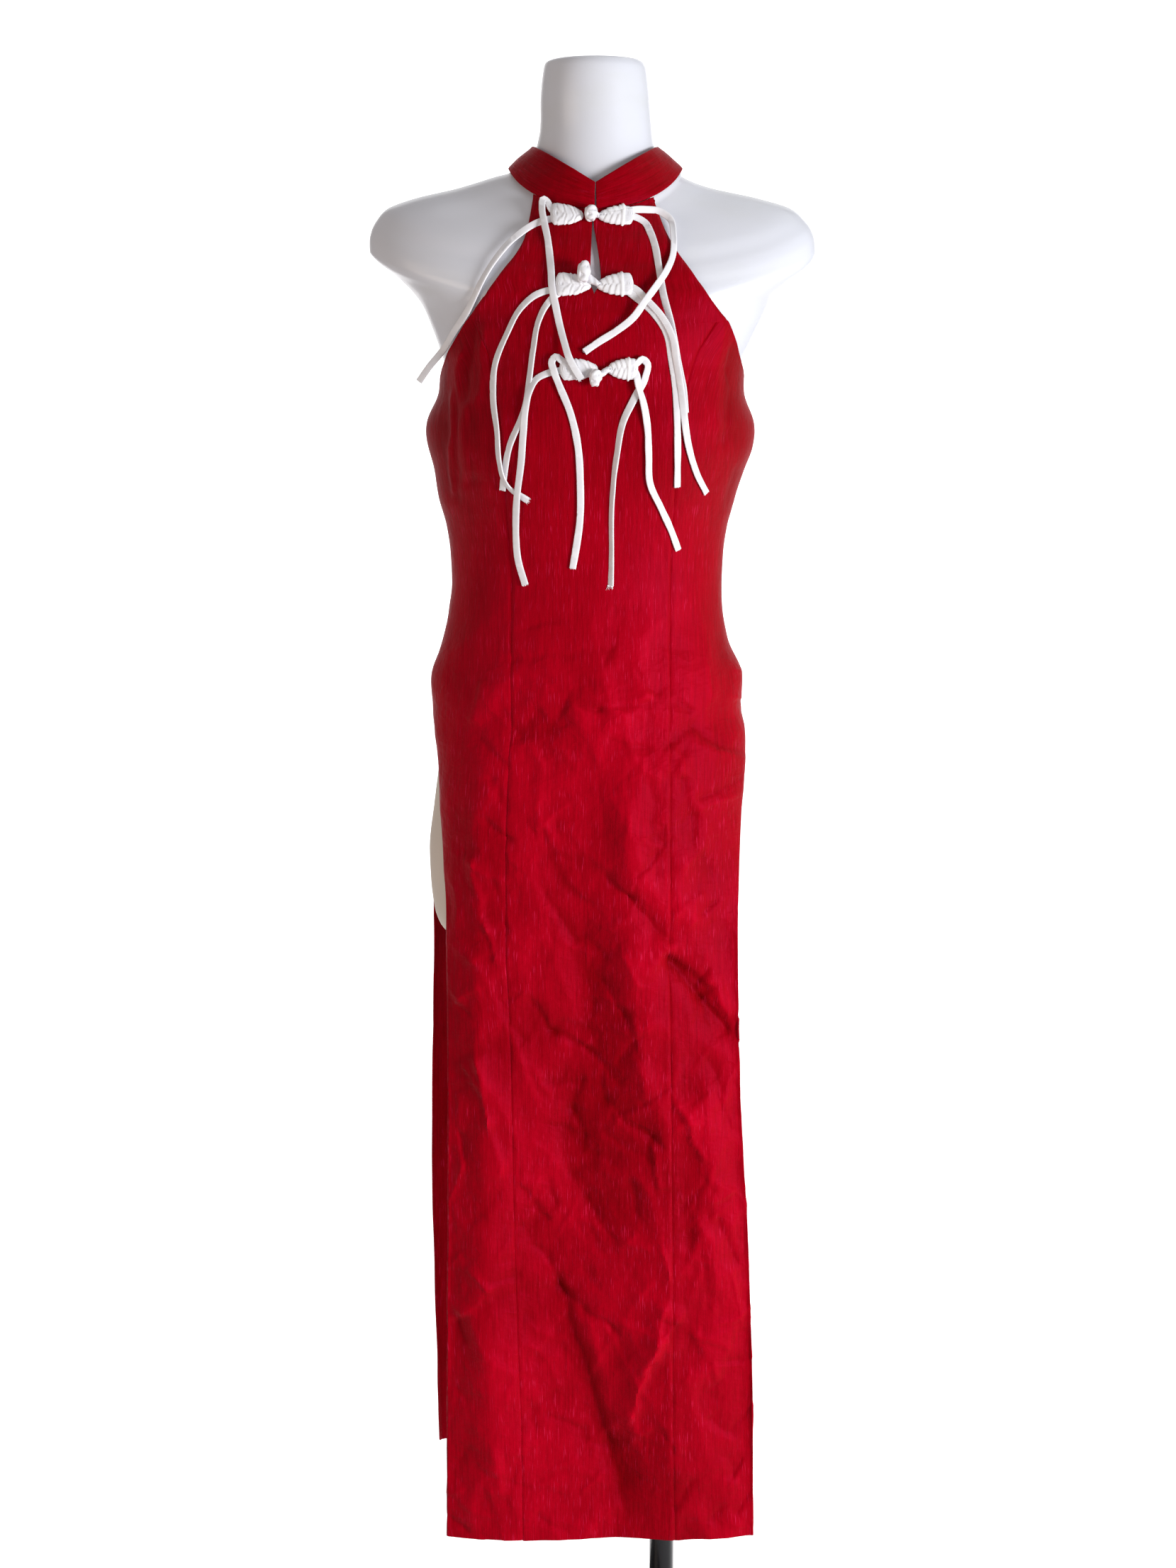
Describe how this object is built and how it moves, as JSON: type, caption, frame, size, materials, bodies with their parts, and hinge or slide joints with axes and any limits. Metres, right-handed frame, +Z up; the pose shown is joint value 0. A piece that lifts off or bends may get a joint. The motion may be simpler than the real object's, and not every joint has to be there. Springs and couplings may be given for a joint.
{
  "type": "cheongsam dress on dress form and stand",
  "caption": "Long sleeveless cheongsam with a halter-cut bodice, frog fastenings and hanging satin ties, on a smooth limbless dress form with a pole and round base.",
  "frame": {"origin": "middle of the base's underside, on the floor", "axes": "+Z up, the dress faces -Y, +X is the wearer's left and the viewer's right"},
  "size_m": [0.3933, 0.34, 1.5235],
  "materials": {
    "crimson_crepe": "matte slubbed crepe",
    "white_satin": "satin",
    "form_shell": "gloss",
    "black_metal": "gloss paint"
  },
  "bodies": {
    "root": {"front_centre": "crimson_crepe", "front_side_left": "crimson_crepe", "front_side_right": "crimson_crepe", "back_left": "crimson_crepe", "back_right": "crimson_crepe", "collar": "crimson_crepe", "frog_top_loop_half": "white_satin", "frog_top_braid_half": "white_satin", "frog_top_knot": "white_satin", "frog_middle_loop_half": "white_satin", "frog_middle_braid_half": "white_satin", "frog_middle_knot": "white_satin", "frog_low_loop_half": "white_satin", "frog_low_braid_half": "white_satin", "frog_low_knot": "white_satin", "tie_01": "white_satin", "tie_02": "white_satin", "tie_03": "white_satin", "tie_04": "white_satin", "tie_05": "white_satin", "tie_06": "white_satin", "tie_07": "white_satin", "tie_08": "white_satin", "tie_09": "white_satin", "tie_10": "white_satin", "tie_11": "white_satin", "tie_12": "white_satin", "form_torso": "form_shell", "stand_flange": "black_metal", "stand_pole": "black_metal", "stand_hub": "black_metal", "stand_base": "black_metal"}
  },
  "joints": []
}
